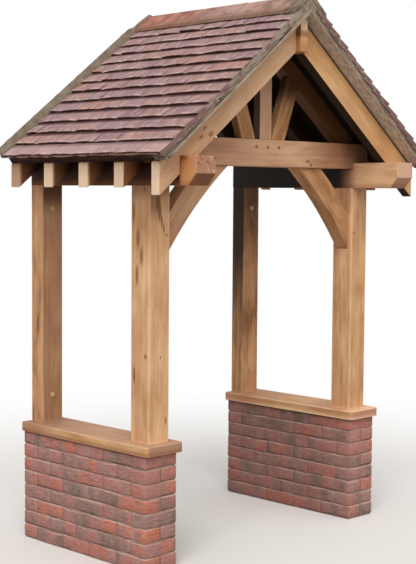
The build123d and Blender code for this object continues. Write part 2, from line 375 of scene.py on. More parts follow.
def oak(name, along, box, seed, knots, end, under, shade, blush, tints, edge_highlight):
    """Oak with its grain along one direction.

    box is the member's (low, high); knots are (place, radius, length along the grain); end colours
    its end grain; under is painted shade on its end faces and bevels that look down; shade darkens
    the whole member as painted shade, or where below zero lightens it as painted light; blush turns
    it towards pink; the last argument gives how strong, and over what width, the painted highlight
    along a square member's arrises is. tints are (colour, strength, limits), most of them painted
    shade, shadow and highlights, and each limit (axis, start, stop) rises from start to stop on that
    axis; faces that look to the back take no tint.
    """
    g = Finish(name, 0.62)
    along = Vector(along).normalized()
    across = along.orthogonal().normalized()
    turn = Matrix((across, along.cross(across), along))
    rng = random.Random(seed)
    pith = Vector((rng.uniform(-0.09, 0.09), rng.uniform(0.06, 0.12), rng.uniform(-3.0, 3.0)))
    mapping = g.add("ShaderNodeMapping", [("Vector", g.place)])
    mapping.inputs["Location"].default_value = pith - turn @ ((box[0] + box[1]) / 2)
    mapping.inputs["Rotation"].default_value = turn.to_euler()
    member = g.out(mapping)

    def drawn(scale, shortened, **settings):
        """Noise drawn out along the grain."""
        return g.noise(member, (scale, scale, scale * shortened), **settings)

    hearts = knot_mask(g, along, knots)
    x, y, _ = g.split(member)
    radial = g.vector("LENGTH", g.join(x, y, 0.0)) + drawn(6.0, 0.14, detail=2.0) * 0.06
    if knots:
        radial = radial + hearts * 0.02
    bands = g.noise(radial, 75.0, detail=5.0, roughness=0.7, line=True)
    fibres = drawn(260.0, 0.03, roughness=0.65)
    broad = drawn(13.0, 0.28, detail=4.0, roughness=0.55, distortion=0.5)
    blotches = drawn(6.0, 0.5, detail=2.0)
    # The grain's tone, less the member's painted shade, or plus painted light where shade is below zero.
    tone = bands * 0.25 + fibres * 0.24 + broad * 0.51 + (blotches - 0.5) * 0.34 - shade
    g.colour = g.ramp(tone, [(0.26, OAK_DARK), (0.40, OAK_DEEP), (0.52, OAK_BASE), (0.66, OAK_LIGHT)])
    g.stain(OAK_RED, drawn(9.0, 0.25, detail=1.0), 0.50, 0.72, 0.5)
    g.tint(blush, OAK_BLUSH)
    checks = g.remap(drawn(75.0, 0.015, detail=2.0), 0.71, 0.76)
    g.tint(checks * 0.35, OAK_DARK)

    normal = g.normal()
    sides = g.split(normal)
    endwise = abs(g.vector("DOT_PRODUCT", normal, along))
    end_grain = g.blend(end, OAK_DEEP, g.noise(radial, 150.0, line=True), 0.40, 0.70, 0.35)
    if end == OAK_END:
        nicks = g.noise(g.place, (48.0, 48.0, 28.8), roughness=0.65, distortion=0.6)
        end_grain = g.blend(end_grain, OAK_DARK, nicks, 0.58, 0.64, 0.6)
        end_grain = g.blend(end_grain, OAK_PALE_END, nicks, 0.39, 0.33, 0.5)
    g.stain(end_grain, endwise, 0.50, 0.90)
    # Painted shade on end faces and bevels that look down.
    bevel = g.remap(endwise, 0.4, 0.6) * g.remap(sides[2], -0.6, -0.3, 0.8, 0.0)
    g.tint(bevel, under)
    if knots:
        g.stain(OAK_KNOT, hearts, 0.10, 0.85, 0.80)
    if edge_highlight:
        paleness, width = edge_highlight
        # Painted highlight along the arrises, broken up by noise.
        highlight_patches = g.remap(g.noise(g.place, 9.0, detail=2.0), 0.35, 0.60, 0.5, 1.0)
        close = g.remap(edge_distance(g, *box), width * 0.25, width, paleness, 0.0)
        g.tint(close * highlight_patches, OAK_ARRIS_HIGHLIGHT)
    forward = g.remap(sides[1], 0.5, 0.9, 1.0, 0.0)
    x, y, z = g.split(g.place)
    measures = (abs(x), y, z, sides[2] * -1.0)
    # Each tint fades in where its limits allow; most are painted shade, shadow and highlights.
    for tint, strength, limits in tints:
        amount = forward * strength
        for axis, start, stop in limits:
            amount = amount * g.remap(measures[axis], start, stop)
        g.tint(amount, tint)
    return g.finished(fibres * 0.6 + bands * 0.5 - checks, 0.0012, 0.6)


def ease(node, width):
    """Welds a member's mesh and eases its arrises."""
    weld = node.modifiers.new("weld", "WELD")
    weld.merge_threshold = 0.00002
    bevel = node.modifiers.new("arris", "BEVEL")
    bevel.width = width
    bevel.segments = 2
    bevel.limit_method = "ANGLE"
    bevel.angle_limit = math.radians(32.0)
    bevel.use_clamp_overlap = True


def dress(node, material):
    """Gives a CAD node its finish."""
    obj = NODES[node]
    obj.data.materials.clear()
    obj.data.materials.append(material)


def on_side(x, *knots):
    """Knots on a face at x, given as y, z, radius and length along the grain."""
    return [((x, y, z), radius, length) for y, z, radius, length in knots]


def on_front(y, *knots):
    """Knots on a face at y, given as x, z, radius and length along the grain."""
    return [((x, y, z), radius, length) for x, z, radius, length in knots]


def limit(axis, place, start, stop):
    """A tint's limit, measured from a place."""
    return (axis, place + start, place + stop)


# Tables by how a node's name begins.
KNOTS = {
    "front_post_left": on_side(
        -POST_OUTER,
        (-0.210, 0.993, 0.011, 0.050),
        (-0.297, 1.094, 0.010, 0.016),
        (-0.203, 1.821, 0.012, 0.060),
        (-0.237, 1.690, 0.015, 0.060),
        (-0.262, 1.600, 0.014, 0.050),
        (-0.230, 1.504, 0.012, 0.060),
        (-0.284, 1.940, 0.006, 0.018),
    )
    + on_front(
        POST_FRONT,
        (-0.808, 1.870, 0.016, 0.050),
        (-0.796, 1.820, 0.011, 0.045),
        (-0.782, 1.775, 0.008, 0.040),
        (-0.768, 1.740, 0.006, 0.030),
        (-0.787, 1.086, 0.006, 0.010),
        (-0.748, 0.758, 0.006, 0.024),
    ),
    "rear_post_left": on_side(-POST_OUTER, (0.590, 1.189, 0.012, 0.060)),
    "barge_rafter_left": on_front(
        BARGE_FRONT,
        (-0.656, 2.211, 0.012, 0.020),
        (-0.725, 2.194, 0.009, 0.018),
        (-0.700, 2.240, 0.007, 0.016),
    ),
    "arch_brace_right": on_front(BRACE_FRONT, (0.560, 1.758, 0.010, 0.022)),
    "wall_plate_left": on_front(
        PLATE_FRONT,
        (-0.832, 2.092, 0.006, 0.006),
        (-0.824, 2.083, 0.006, 0.006),
        (-0.848, 2.066, 0.007, 0.007),
        (-0.786, 2.070, 0.007, 0.007),
        (-0.776, 2.062, 0.007, 0.007),
        (-0.733, 2.090, 0.009, 0.009),
    )
    + on_side(-POST_OUTER, (-0.572, 2.085, 0.008, 0.030)),
    "tie_beam": on_front(POST_FRONT, (-0.640, 2.150, 0.008, 0.014), (0.330, 2.100, 0.010, 0.018)),
}
# Painted shade over whole members; where it is below zero, painted light.
SHADES = {
    "principal_rafter": 0.30,
    "leaning_strut_left": 0.12,
    "leaning_strut_right": 0.11,
    "arch_brace_left": 0.07,
    "arch_brace_right": 0.10,
    "rear_post_left": 0.10,
    "rear_post_right": 0.12,
    "barge_rafter_left": -0.06,
    "wall_plate_right": -0.14,
    "sill_right": -0.04,
    "front_post_left": -0.03,
}
BLUSHES = {
    "tie_beam": 0.35,
    "king_strut": 0.50,
    "barge_rafter_left": 0.30,
    "wall_plate_left": 0.20,
    "rear_post_left": 0.10,
    "arch_brace_left": 0.30,
}
ENDS = {
    "barge_rafter": OAK_PALE_END,
    "common_rafter": OAK_PALE_END,
    "principal_rafter": OAK_PALE_END,
    "sill_right": (204, 156, 132),
    "sill_left": (196, 148, 108),
    "wall_plate_right": (214, 174, 146),
    "ridge_beam": OAK_GOLD_END,
}
# Painted shade on end faces and bevels that look down, lighter on the right wall plate's nose.
UNDERSIDE_SHADES = {"wall_plate_right": (176, 130, 106)}
# How strong, and over what width, the painted highlight along the arrises is.
EDGE_HIGHLIGHTS = {"front_post": (0.42, 0.017), "rear_post": (0.20, 0.017), "sill": (0.75, 0.010)}

# Painted shade, shadow, highlights and a sky reflection, with a few tints of the wood's own colour:
# colour, strength, and where each rises from nothing to full.
OUTER_FACE = limit(REACH, POST_OUTER, -0.010, -0.003)
OTHER_FACES = limit(REACH, POST_OUTER, -0.003, -0.010)
POST_MIDDLE = limit(REACH, POST_INNER, 0.045, 0.081)
PLATE_OUTSIDE = limit(REACH, POST_OUTER, -0.015, -0.003)
PLATE_INSIDE = limit(REACH, POST_INNER, 0.004, 0.001)
PLATE_SIDE = [PLATE_OUTSIDE, limit(DEPTH, PLATE_FRONT, 0.090, 0.120)]
PLATE_NOSE = [PLATE_OUTSIDE, limit(DEPTH, PLATE_FRONT, 0.120, 0.090)]
BEHIND_FOOT = limit(REACH, RAFTER_END, -0.003, -0.020)
RAFTER_FOOT = limit(REACH, RAFTER_END, -0.010, -0.002)
DEEP_UNDER_EAVE = limit(REACH, RAFTER_END, -0.030, -0.125)
OUTSIDE_PLATE = limit(REACH, POST_INNER, -0.005, 0.075)
INSIDE_PLATE = limit(REACH, POST_INNER, 0.075, -0.005)
SILL_EDGE = limit(HEIGHT, SILL_TOP, -0.002, -0.010)
SILL_CORNER = limit(REACH, SILL_OUTER, -0.022, -0.008)
TINTS = {
    # Painted shade on the rafters' sides behind their feet, near black deep under the roof, and on the
    # rear-most feet.
    "common_rafter": [
        ((98, 56, 34), 0.88, [BEHIND_FOOT]),
        (OAK_DEEP_SHADE, 0.94, [DEEP_UNDER_EAVE]),
        (OAK_SHADED, 0.60, [RAFTER_FOOT, limit(DEPTH, Y_BACK, -0.17, -0.05)]),
    ],
    # Painted shade behind the feet outside the plates, near black deep under the eaves, and inside the
    # plates.
    "principal_rafter": [
        (OAK_SHADED, 0.75, [BEHIND_FOOT, OUTSIDE_PLATE]),
        (OAK_DEEP_SHADE, 0.90, [DEEP_UNDER_EAVE, OUTSIDE_PLATE]),
        ((74, 46, 32), 0.60, [INSIDE_PLATE]),
    ],
    # Painted light and shade on the front end: a painted sunlit top, redder painted shade below it, a
    # painted shadow on the sides, and near-black painted shade further back.
    "ridge_beam": [
        (OAK_PALE_END, 0.55, [limit(HEIGHT, APEX, -0.085, -0.070)]),
        ((150, 90, 58), 0.65,
         [limit(HEIGHT, APEX, -0.115, -0.098), limit(HEIGHT, APEX, -0.060, -0.085)]),
        ((168, 108, 64), 0.50, [limit(HEIGHT, APEX, -0.115, -0.160)]),
        ((70, 42, 24), 0.75, [(REACH, 0.024, 0.027), limit(HEIGHT, APEX, -0.160, -0.050)]),
        (OAK_DEEP_SHADE, 0.92, [limit(DEPTH, BARGE_FRONT, 0.06, 0.20)]),
    ],
    # Painted shadow over the outer parts of the tie beam, darkest near its ends.
    "tie_beam": [
        ((140, 76, 42), 0.42, [(REACH, 0.22, 0.62)]),
        ((74, 40, 26), 0.40, [(REACH, 0.58, 0.70)]),
    ],
    "wall_plate": [
        # Painted shade under the eaves on the plates' outer sides, darker towards the top.
        ((72, 38, 24), 0.98, PLATE_SIDE),
        ((24, 13, 9), 0.80, PLATE_SIDE + [limit(HEIGHT, PLATE_BASE, 0.010, 0.120)]),
        ((206, 138, 80), 0.60, PLATE_NOSE),
        ((206, 138, 116), 0.55, PLATE_NOSE
         + [limit(DEPTH, PLATE_FRONT, 0.050, 0.005), limit(HEIGHT, PLATE_BASE, 0.075, 0.100)]),
        # Painted shadow of the barge rafter on the top of the nose's side.
        ((104, 58, 30), 0.65, PLATE_NOSE
         + [limit(HEIGHT, PLATE_BASE, 0.105, 0.140), limit(DEPTH, PLATE_FRONT, 0.040, 0.100)]),
        # Painted shade along the plates' bottom edges.
        ((140, 88, 54), 0.42, [limit(HEIGHT, PLATE_BASE, 0.037, 0.007)]),
        # Painted shade on the plates' inner faces, near black behind the front posts.
        ((112, 70, 42), 0.70, [PLATE_INSIDE, limit(DEPTH, POST_FRONT, -0.0475, 0.0325)]),
        ((24, 11, 6), 0.98, [PLATE_INSIDE, limit(DEPTH, POST_FRONT, -0.0025, 0.1125)]),
    ],
    # Painted shade, near black towards the top, on the post's inner face, and over the top of the post.
    "rear_post_right": [
        (OAK_DEEP_SHADE, 0.93, [limit(REACH, POST_INNER, 0.004, 0.0), limit(HEIGHT, SILL_TOP, 0.23, 0.95)]),
        (OAK_DEEP_SHADE, 0.62, [limit(HEIGHT, PLATE_BASE, -0.455, -0.035)]),
    ],
    # Painted shade on the front face, and near the top on all but the outer face.
    "rear_post_left": [
        ((122, 92, 74), 0.38, [limit(DEPTH, Y_BACK, -0.094, -0.098)]),
        ((74, 44, 30), 0.84, [OTHER_FACES, limit(HEIGHT, PLATE_BASE, -0.175, -0.035)]),
    ],
    # Painted shade below the wall plate and painted shadow of the barge rafter's foot, near the top of
    # the post.
    "front_post_left": [
        ((142, 90, 56), 0.42, [OUTER_FACE, limit(HEIGHT, PLATE_BASE, -0.435, -0.155)]),
        ((108, 66, 40), 0.50, [OTHER_FACES, limit(HEIGHT, PLATE_BASE, -0.085, -0.005)]),
        ((104, 58, 38), 0.62, [OTHER_FACES, POST_MIDDLE, limit(HEIGHT, PLATE_BASE, -0.195, -0.095)]),
        ((108, 66, 40), 0.35, [OUTER_FACE, limit(HEIGHT, PLATE_BASE, -0.095, -0.025)]),
    ],
    "barge_rafter_right": [
        ((208, 156, 94), 0.35, []),
        ((226, 184, 140), 0.35, [(REACH, 0.70, 0.85)]),
        # Painted shade, near black, on the faces that look down.
        ((26, 14, 9), 0.97, [(LOOKS_DOWN, 0.62, 0.76)]),
    ],
    # Painted shade on the top of the strut, under the roof.
    "leaning_strut_right": [((60, 36, 24), 0.85, [(HEIGHT, 2.370, 2.510)])],
    # Painted deep shade on the king strut's sides.
    "king_strut": [(OAK_DEEP_SHADE, 0.75, [limit(REACH, KING_HALF, -0.003, -0.0008)])],
    # Painted reflection of the sky on the top, and painted shade towards the back, on the front end and
    # along the bottom.
    "sill_left": [
        ((186, 142, 120), 0.50, [limit(HEIGHT, SILL_TOP, -0.010, -0.001)]),
        ((134, 94, 74), 0.52, [(DEPTH, 0.18, 0.60)]),
        ((148, 114, 110), 0.52, [limit(DEPTH, SILL_FRONT, 0.0045, 0.0005)]),
        ((140, 88, 56), 0.60, [limit(HEIGHT, SILL_BASE, 0.030, 0.008)]),
    ],
    # Painted shade towards the back, a darker band along the middle of the side, a painted highlight
    # along the top near the front, and painted light on the front corner.
    "sill_right": [
        ((170, 112, 82), 0.45, [(DEPTH, 0.05, 0.60)]),
        ((150, 94, 56), 0.35, [SILL_EDGE, limit(HEIGHT, SILL_BASE, 0.012, 0.024)]),
        ((252, 206, 168), 0.60, [limit(HEIGHT, SILL_TOP, -0.0020, -0.0005), (DEPTH, -0.290, -0.335)]),
        (OAK_PALE_END, 0.80, [SILL_CORNER, limit(DEPTH, SILL_FRONT, 0.0105, 0.0015)]),
    ],
}
EASED = ("wall_plate", "arch_brace", "barge_rafter", "principal_rafter", "common_rafter", "leaning_strut",
         "tie_beam", "king_strut", "ridge_beam")
OAK_NODES = EASED + ("front_post", "rear_post", "sill")


def chosen(table, node, otherwise):
    """A table's entry for a node, by how the node's name begins."""
    return next((entry for begins, entry in table.items() if node.startswith(begins)), otherwise)


def grain(node):
    """The direction in which a member's grain runs."""
    sign = SIDES.get(node.rpartition("_")[2], 0.0)
    if "rafter" in node:
        return (-sign * COS_P, 0.0, SIN_P)
    if node.startswith("arch_brace"):
        return (-sign * math.cos(BRACE_RISE), 0.0, math.sin(BRACE_RISE))
    if node.startswith("leaning_strut"):
        return (sign * math.sin(STRUT_LEAN), 0.0, math.cos(STRUT_LEAN))
    if node == "tie_beam":
        return (1.0, 0.0, 0.0)
    if node.startswith(("wall_plate", "sill", "ridge_beam")):
        return (0.0, 1.0, 0.0)
    return (0.0, 0.0, 1.0)


def dress_timber():
    """Each member gets its own length of oak; sills and posts have their arrises already."""
    members = [node for node in sorted(NODES) if node.startswith(OAK_NODES)]
    for seed, node in enumerate(members, start=1):
        material = oak(
            f"oak_{node}",
            grain(node),
            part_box(node),
            seed,
            knots=chosen(KNOTS, node, ()),
            end=chosen(ENDS, node, OAK_END),
            under=chosen(UNDERSIDE_SHADES, node, OAK_UNDER_SHADE),
            shade=chosen(SHADES, node, 0.0),
            blush=chosen(BLUSHES, node, 0.0),
            tints=chosen(TINTS, node, ()),
            edge_highlight=chosen(EDGE_HIGHLIGHTS, node, None),
        )
        dress(node, material)
        if node.startswith(EASED):
            ease(NODES[node], ARRIS)


def new_object(name, data):
    obj = bpy.data.objects.new(name, data)
    bpy.context.scene.collection.objects.link(obj)
    return obj


class Pile:
    """Vertices and faces of many like pieces, joined into one mesh.

    tones give each piece its own shade, and locals are places within a piece, for its material.
    """

    def __init__(self):
        self.points = []
        self.faces = []
        self.tones = []
        self.locals = []

    def add(self, point, tone, local):
        self.points.append(point)
        self.tones.append(tone)
        self.locals.append(local)

    def block(self, us, vs, ws, place, tone=0.5, local=None):
        """The skin of a lattice block; place turns (u, v, w) into a point, local into a local place."""
        last = (len(us) - 1, len(vs) - 1, len(ws) - 1)
        index = {}
        for i, u in enumerate(us):
            for j, v in enumerate(vs):
                for k, w in enumerate(ws):
                    if i in (0, last[0]) or j in (0, last[1]) or k in (0, last[2]):
                        index[i, j, k] = len(self.points)
                        self.add(place(u, v, w), tone, local(u, v, w) if local else (u, v, w))
        for a, b, c in ((0, 1, 2), (1, 2, 0), (2, 0, 1)):
            for i in range(last[a]):
                for j in range(last[b]):
                    for end in (0, last[c]):
                        ring = []
                        for across, along in ((i, j), (i + 1, j), (i + 1, j + 1), (i, j + 1)):
                            at = {a: across, b: along, c: end}
                            ring.append(index[at[0], at[1], at[2]])
                        self.faces.append(ring if end else ring[::-1])

    def turned(self, place, axis, profile, sides, tone):
        """A round piece from (distance along its axis, radius) pairs."""
        axis = Vector(axis).normalized()
        first = axis.orthogonal().normalized()
        second = axis.cross(first)
        base = len(self.points)
        for distance, radius in profile:
            for k in range(sides):
                angle = 2.0 * math.pi * k / sides
                offset = (first * math.cos(angle) + second * math.sin(angle)) * radius
                self.add(tuple(Vector(place) + axis * distance + offset), tone, (0.0, 0.0, 0.0))
        top = base + (len(profile) - 1) * sides
        for start in range(base, top, sides):
            for k in range(sides):
                a = start + k
                b = start + (k + 1) % sides
                self.faces.append([a, b, b + sides, a + sides])
        self.faces.append([base + k for k in range(sides)][::-1])
        self.faces.append([top + k for k in range(sides)])

    def piece(self, name, material, slot, replaces=(), sharp=40.0):
        """The pile as one object; faces that meet at more than sharp degrees keep their edge."""
        mesh = bpy.data.meshes.new(name)
        mesh.from_pydata(self.points, [], self.faces)
        tone = mesh.attributes.new("tone", "FLOAT", "POINT")
        tone.data.foreach_set("value", self.tones)
        local = mesh.attributes.new("local", "FLOAT_VECTOR", "POINT")
        local.data.foreach_set("vector", [c for place in self.locals for c in place])
        work = bmesh.new()
        work.from_mesh(mesh)
        bmesh.ops.recalc_face_normals(work, faces=work.faces)
        work.to_mesh(mesh)
        work.free()
        mesh.polygons.foreach_set("use_smooth", [True] * len(mesh.polygons))
        mesh.set_sharp_from_angle(angle=math.radians(sharp))
        mesh.materials.append(material)
        obj = new_object(name, mesh)
        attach(obj, "root")
        if replaces:
            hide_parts(*replaces)


def steps(length, count, edge=0.0):
    """Lattice lines along one side, with a close line beside each end."""
    inner = [edge + (length - 2 * edge) * i / count for i in range(count + 1)]
    return [0.0] + inner + [length] if edge else inner


def rounded(point, size, radius):
    """A point of a box's skin, pulled in so that the box's edges are round."""
    core = [min(max(p, radius), s - radius) for p, s in zip(point, size)]
    away = Vector(point) - Vector(core)
    if away.length < 1e-9:
        return Vector(point)
    return Vector(core) + away.normalized() * radius


def inner_shade(g):
    """Painted shade: the faces turned to the entrance are a little darker, least at the front corner."""
    x, y, _ = g.split(g.place)
    inwards = x * g.split(g.normal())[0]
    depth = g.remap(inwards, -0.3, -0.6) * g.remap(y, -0.35, -0.05, 0.08, 0.34)
    g.tint(depth, (88, 60, 54))


def bed_shadow(g):
    """How strong the painted shadow in and under the bed joints is; it comes and goes along each course.
    """
    wander = g.noise(g.place, (6.0, 6.0, 13.3), roughness=0.6)
    return g.remap(wander, 0.38, 0.62, 0.15, 1.0)


BRICK_FIRED = [
    (0.32, (124, 108, 98)),
    (0.41, (150, 118, 110)),
    (0.49, (170, 126, 119)),
    (0.58, (184, 121, 111)),
    (0.69, (204, 120, 94)),
]
TILE_TONES = [
    (0.0, (142, 116, 120)),
    (0.15, (160, 134, 138)),
    (0.50, (170, 138, 137)),
    (0.85, (176, 140, 134)),
    (1.0, (184, 138, 122)),
]
RIDGE_BY_DEPTH = [
    (0.0, (168, 134, 118)),
    (0.25, (186, 152, 147)),
    (0.7, (158, 108, 96)),
    (1.0, (168, 98, 82)),
]


def brick_material():
    """Hand-made brick: soft fire marks across each brick, fine level creases, pale bloom."""
    g = Finish("brick", 0.85)
    tone = g.attribute("tone")
    lengthwise, _, height = g.split(g.attribute("local", "Vector"))
    x, y, z = g.split(g.place)
    kiss = g.noise(lengthwise + tone * 37.0, 8.0, detail=1.0, roughness=0.4, line=True)
    cloud = g.noise(g.place, 12.0, roughness=0.55)
    course = g.math("FLOOR", z / COURSE)
    drift = g.noise(x - y + course * 5.3, 7.0, detail=2.0, line=True)
    burn = kiss * 0.36 + cloud * 0.34 + drift * 0.30 + (tone - 0.5) * 0.22
    g.colour = g.ramp(burn, BRICK_FIRED)
    mottle = g.noise(g.place, 45.0, detail=4.0, roughness=0.65)
    g.stain((150, 120, 112), mottle, 0.35, 0.75, 0.5)
    bloom = g.noise(g.place, 7.0, detail=5.0, roughness=0.7)
    g.stain((176, 152, 146), bloom, 0.50, 0.74, 0.6)
    creases = g.noise(g.place, (22.0, 22.0, 110.0), roughness=0.6)
    g.stain((108, 78, 70), creases, 0.47, 0.34, 0.40)
    g.stain((200, 158, 144), creases, 0.54, 0.70, 0.40)
    pits = g.noise(g.place, 240.0, detail=2.0)
    g.stain((84, 58, 52), pits, 0.60, 0.72, 0.5)
    # Painted highlight along each brick's top arris, patchy.
    top_highlight = g.remap(height, BRICK_HEIGHT - 0.009, BRICK_HEIGHT - 0.001, 0.0, 0.75)
    pale = g.remap(g.noise(g.place, (7.0, 7.0, 13.3), detail=2.0), 0.40, 0.60, 0.2, 1.0)
    g.tint(top_highlight * pale, (206, 178, 164))
    # Painted shadow along each brick's lower edge, above the recessed bed joint.
    lower_edge = g.remap(height, 0.001, 0.009, 0.60, 0.0)
    g.tint(lower_edge * bed_shadow(g), (84, 58, 50))
    # Painted shadow on the top course, under the sill.
    g.stain((66, 44, 38), z, SILL_BASE - 0.016, SILL_BASE - 0.004, 0.7)
    glow = g.remap(y, 0.0, -0.30) * g.remap(z, 0.25, 0.42)
    g.tint(glow * 0.15, (206, 116, 90))
    relief = mottle * 1.2 - g.remap(pits, 0.6, 0.72) + creases * 1.5
    inner_shade(g)
    return g.finished(relief, 0.0015, 0.8)


def joint_material():
    """Pale bed joints with painted shadow under the brick above; perpends nearly the colour of the brick.
    """
    g = Finish("lime_mortar", 0.95)
    grit = g.noise(g.place, 300.0, roughness=0.7)
    patches = g.noise(g.place, 12.0)
    bed = g.mix(patches, (158, 132, 122), (208, 182, 168))
    in_course = g.math("FRACT", g.split(g.place)[2] / COURSE) * COURSE
    # Painted shadow in the upper part of each bed joint, under the brick above.
    shadowed = g.remap(in_course, JOINT * 0.3, JOINT * 0.8) * bed_shadow(g)
    bed = g.mix(shadowed, bed, (62, 42, 36))
    perpend = g.mix(patches, (128, 96, 88), (164, 126, 116))
    g.colour = g.blend(bed, perpend, in_course, JOINT, JOINT * 1.1)
    g.stain((112, 90, 80), grit, 0.4, 0.7, 0.3)
    inner_shade(g)
    return g.finished(grit, 0.0012, 0.7)


def lay_brick(pile, corner, size, length_axis, rng):
    """One hand-made brick, its arrises softened by wear and its faces a little uneven."""
    radius = rng.uniform(0.0025, 0.0045)
    lattice = 0.032
    lines = [steps(s, max(2, round(s / lattice)), edge=0.0032) for s in size]
    seed = Vector((rng.uniform(0, 50), rng.uniform(0, 50), rng.uniform(0, 50)))
    proud = Vector([rng.uniform(-0.0010, 0.0010) for _ in range(3)])
    sag = rng.uniform(-0.0036, 0.0036)
    tilt = rng.uniform(-0.0045, 0.0045)

    def place(u, v, w):
        world = Vector(corner) + rounded((u, v, w), size, radius)
        wave = noise.noise_vector(world * 16.0 + seed)
        wave = Vector((wave.x * 0.0012, wave.y * 0.0012, wave.z * 0.0042))
        fine = noise.noise_vector(world * 70.0 + seed) * 0.0006
        along = (u, v, w)[length_axis] / size[length_axis]
        lift = Vector((0.0, 0.0, sag * math.sin(math.pi * along) + tilt * (along - 0.5)))
        return tuple(world + wave + fine + proud + lift)

    def local(u, v, w):
        return (v, u, w) if length_axis else (u, v, w)

    pile.block(*lines, place, rng.random(), local)


def lay_mortar(low, high, courses):
    """The mortar behind the bricks' faces, deeper in the bed joints than in the perpends."""
    pile = Pile()
    centre = (low + high) / 2

    def place(u, v, w):
        recess = JOINT_RECESS if w % COURSE < JOINT + 0.0002 else PERPEND_RECESS
        recess += noise.noise(Vector((u, v, w)) * 60.0) * 0.0010
        x = centre.x + math.copysign(max(0.0, abs(u - centre.x) - recess), u - centre.x)
        y = centre.y + math.copysign(max(0.0, abs(v - centre.y) - recess), v - centre.y)
        return (x, y, w)

    heights = []
    for course in range(courses):
        base = low.z + course * COURSE
        heights += [base + 0.0001, base + JOINT, base + JOINT + 0.003, base + COURSE - 0.003]
    heights.append(high.z - 0.001)
    xs = [low.x + step for step in steps(high.x - low.x, 12)]
    ys = [low.y + step for step in steps(high.y - low.y, 60)]
    pile.block(xs, ys, heights, place)
    return pile


def build_walls():
    """Two one-brick walls of stretchers, with a header over the front end of every other course."""
    brick = brick_material()
    mortar = joint_material()
    for side in SIDES:
        low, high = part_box(f"dwarf_wall_{side}")
        rng = random.Random(WALL_SEEDS[side])
        pile = Pile()
        courses = round((high.z - low.z) / COURSE)
        for course in range(courses):
            z = low.z + course * COURSE + JOINT
            y = low.y
            if course % 2:
                lay_brick(pile, (low.x, y, z), (BRICK_LENGTH, BRICK_WIDTH, BRICK_HEIGHT), 0, rng)
                y += BRICK_WIDTH + PERPEND
            while y < high.y - PERPEND:
                end = min(y + BRICK_LENGTH + JOINT - PERPEND, high.y)
                for x in (low.x, high.x - BRICK_WIDTH):
                    lay_brick(pile, (x, y, z), (BRICK_WIDTH, end - y, BRICK_HEIGHT), 1, rng)
                y = end + PERPEND
        pile.piece(f"bricks_{side}", brick, "brick", [f"dwarf_wall_{side}"])
        lay_mortar(low, high, courses).piece(f"joints_{side}", mortar, "mortar")


def on_slope(sign, s, t, y):
    """A point of the left (-1) or right (+1) slope."""
    return (sign * (s * COS_P + t * SIN_P), y, APEX - s * SIN_P + t * COS_P)


def tile_material(name, tail_dark, tail_light, shadowed):
    """Sand-faced clay, streaked down the slope; the tails' ends, which look down, take painted shade, and
    the last argument is the share of them that takes the darker colour.
    """
    g = Finish(name, 0.8)
    local = g.attribute("local", "Vector")
    from_tail = g.split(local)[0]
    x, y, _ = g.split(g.place)
    reach = abs(x)
    normal = g.split(g.normal())
    g.colour = g.ramp(g.attribute("tone"), TILE_TONES)
    g.stain((158, 134, 134), g.noise(g.place, 4.0), 0.45, 0.70, 0.45)
    streaks = g.noise(local, (11.0, 55.0, 55.0), detail=4.0, roughness=0.65)
    g.stain((116, 86, 88), streaks, 0.50, 0.30, 0.62)
    g.stain((214, 186, 180), streaks, 0.50, 0.68, 0.72)
    flecks = g.noise(local, (45.5, 130.0, 130.0), detail=2.0)
    g.stain((196, 138, 116), flecks, 0.60, 0.72, 0.55)
    mottle = g.noise(g.place, 160.0, roughness=0.7)
    g.stain((116, 88, 86), mottle, 0.7, 0.35, 0.4)
    # Painted highlight along the tails' edges, patchy.
    edge_highlight = g.remap(g.noise(g.place, 16.0, detail=2.0), 0.45, 0.65, 0.0, 0.6)
    g.tint(edge_highlight * g.remap(from_tail, 0.0, 0.028, 1.0, 0.0), (216, 184, 176))
    # Painted shadow just below the tails of the course above.
    g.stain((70, 42, 42), from_tail, 0.068, 0.090, 0.85)
    # Painted shade on the faces that look down, the tails' ends, patchy between two colours.
    tail = g.blend(tail_dark, tail_light, g.noise(g.place, 18.0), shadowed - 0.08, shadowed + 0.10)
    g.stain(tail, normal[2], 0.45, 0.10, 0.95)
    # Paler on the lowest course's upward faces, near the eave.
    paler_eave = g.remap(normal[2], 0.45, 0.65) * g.remap(reach, EAVE_BAND - 0.008, EAVE_BAND, 0.0, 0.33)
    g.tint(paler_eave, (210, 178, 176))
    g.stain((128, 96, 94), abs(normal[1]), 0.6, 0.8)
    # Mortar smeared over the tiles' edges at the verge, less on the right and towards the eaves.
    smear = g.noise(g.place, 30.0, detail=4.0) - g.remap(x, -0.05, 0.05, 0.0, 0.14)
    smear = smear - g.remap(reach, 0.30, 0.95, 0.06, 0.20)
    verge = g.blend((134, 102, 97), VERGE_LIGHT, smear, 0.30, 0.50)
    at_verge = g.remap(y, Y_FRONT + 0.006, Y_FRONT + 0.012, 1.0, 0.0)
    g.tint(at_verge * g.remap(normal[1], -0.8, -0.6, 1.0, 0.0), verge)
    return g.finished(mottle * 0.7 + streaks, 0.0015, 0.7)


